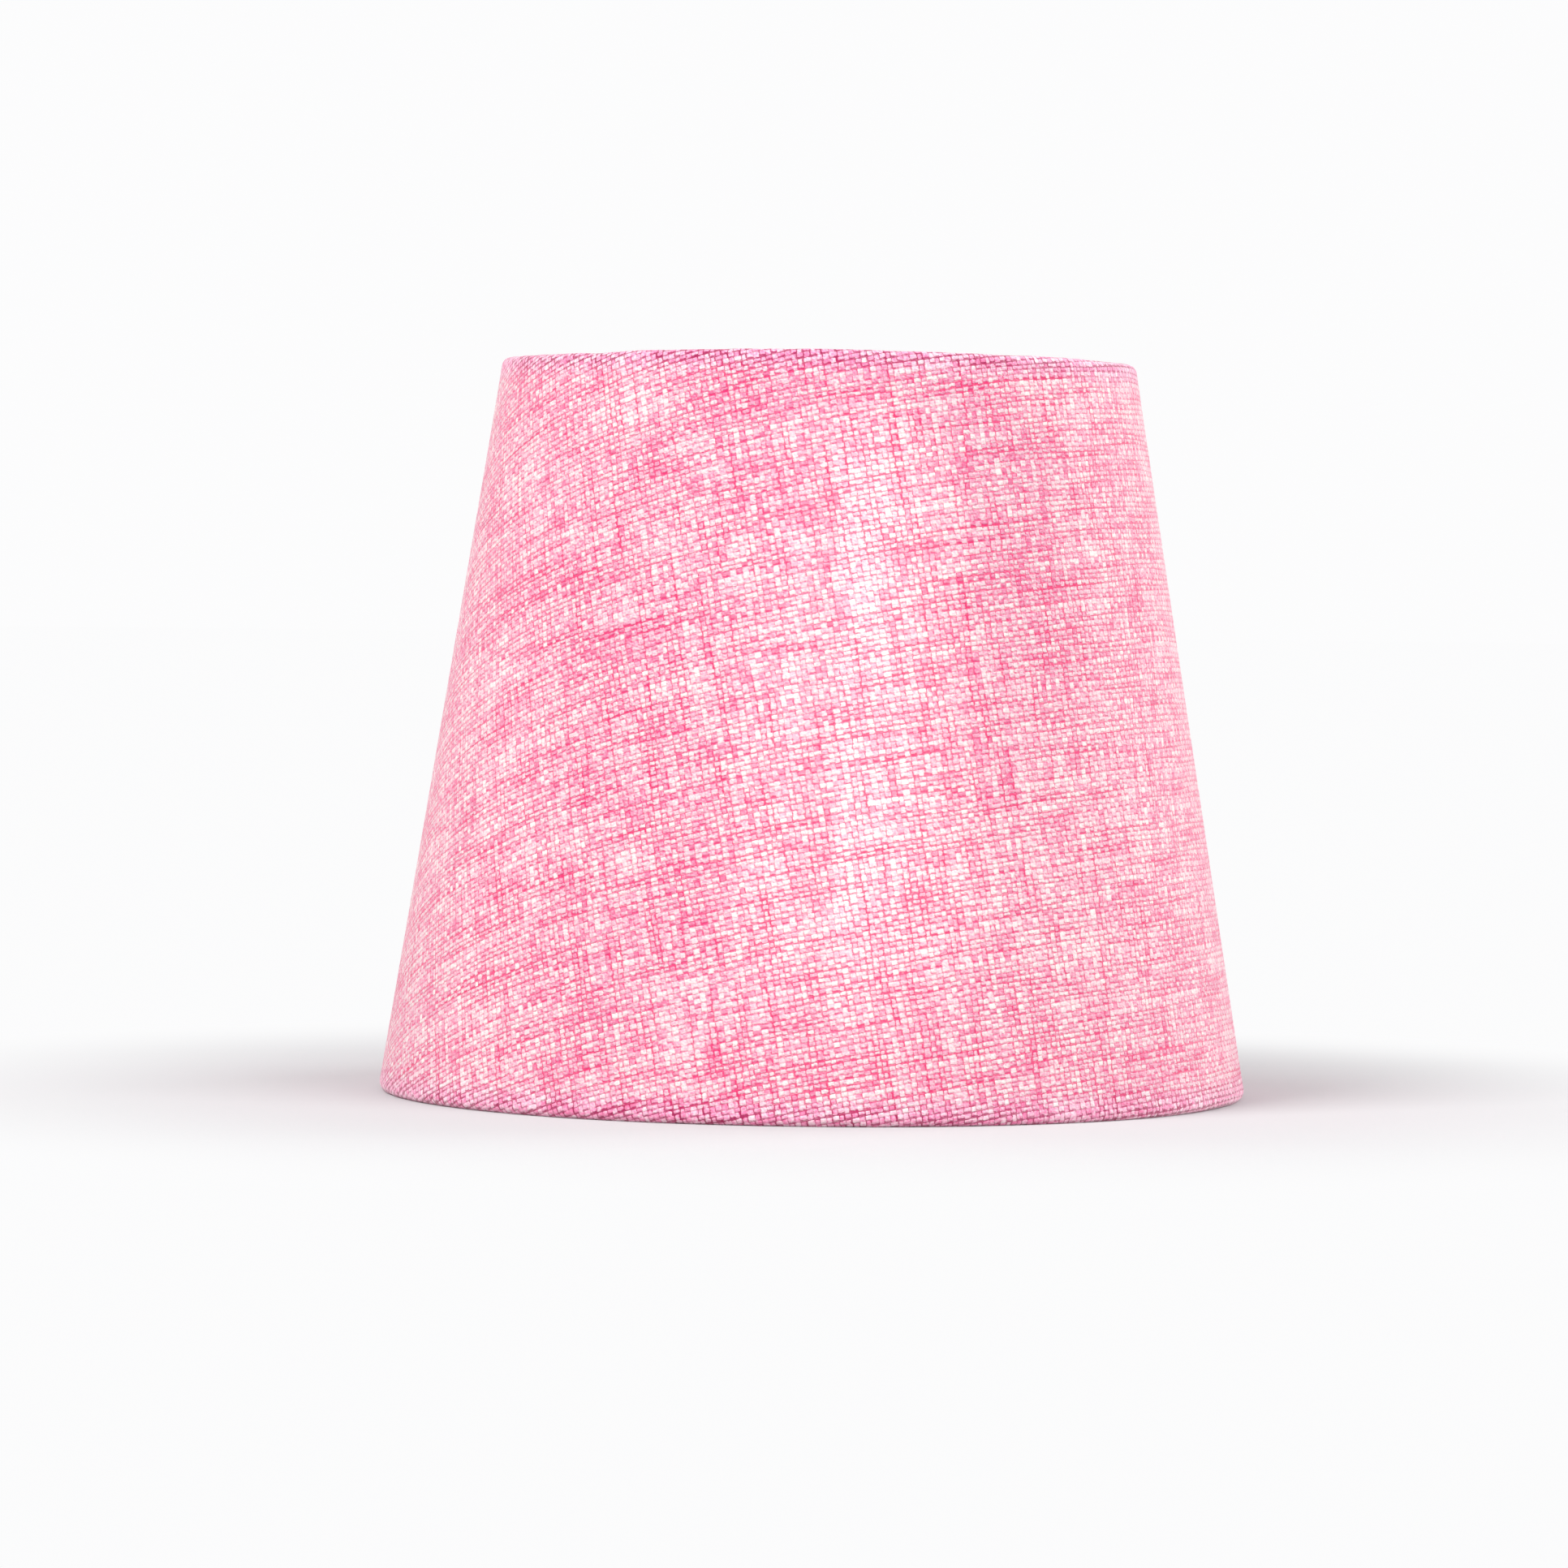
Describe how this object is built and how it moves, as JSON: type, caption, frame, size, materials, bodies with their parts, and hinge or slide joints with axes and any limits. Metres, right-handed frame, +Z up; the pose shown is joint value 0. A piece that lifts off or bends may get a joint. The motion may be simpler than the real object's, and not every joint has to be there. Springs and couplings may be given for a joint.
{
  "type": "lamp shade",
  "caption": "Tapered round table-lamp shade of pink plain-weave cloth on a stiff white liner, rolled over wire rings, with an inset three-armed fitter and reducer ring.",
  "frame": {"origin": "centre of the bottom rim, on the plane that the shade stands on", "axes": "+Z up along the shade's axis, towards its narrow end; -Y the front; +Y the back, where the cloth's lapped seam runs"},
  "size_m": [0.1993, 0.2, 0.1684],
  "materials": {
    "cloth": "pink slubbed plain weave",
    "liner": "matt white translucent sheet",
    "tape": "thin double-sided tape",
    "frame_wire": "white powder coat",
    "weld": "white powder coat over weld bead",
    "fitter": "white powder coat",
    "reducer": "moulded white plastic"
  },
  "bodies": {
    "shade": {"fabric_cover": "cloth", "backing_liner": "liner", "seam_tape": "tape", "top_ring": "frame_wire", "bottom_ring": "frame_wire", "spider_arm_1": "frame_wire", "spider_arm_2": "frame_wire", "spider_arm_3": "frame_wire", "arm_welds": "weld", "fitter_ring": "fitter"},
    "reducer": {"reducer_ring": "reducer"}
  },
  "joints": [
    {"name": "reducer_lift", "type": "slide", "parent": "shade", "child": "reducer", "axis": [0, 0, 1], "range_m": [0, 0.155]}
  ]
}
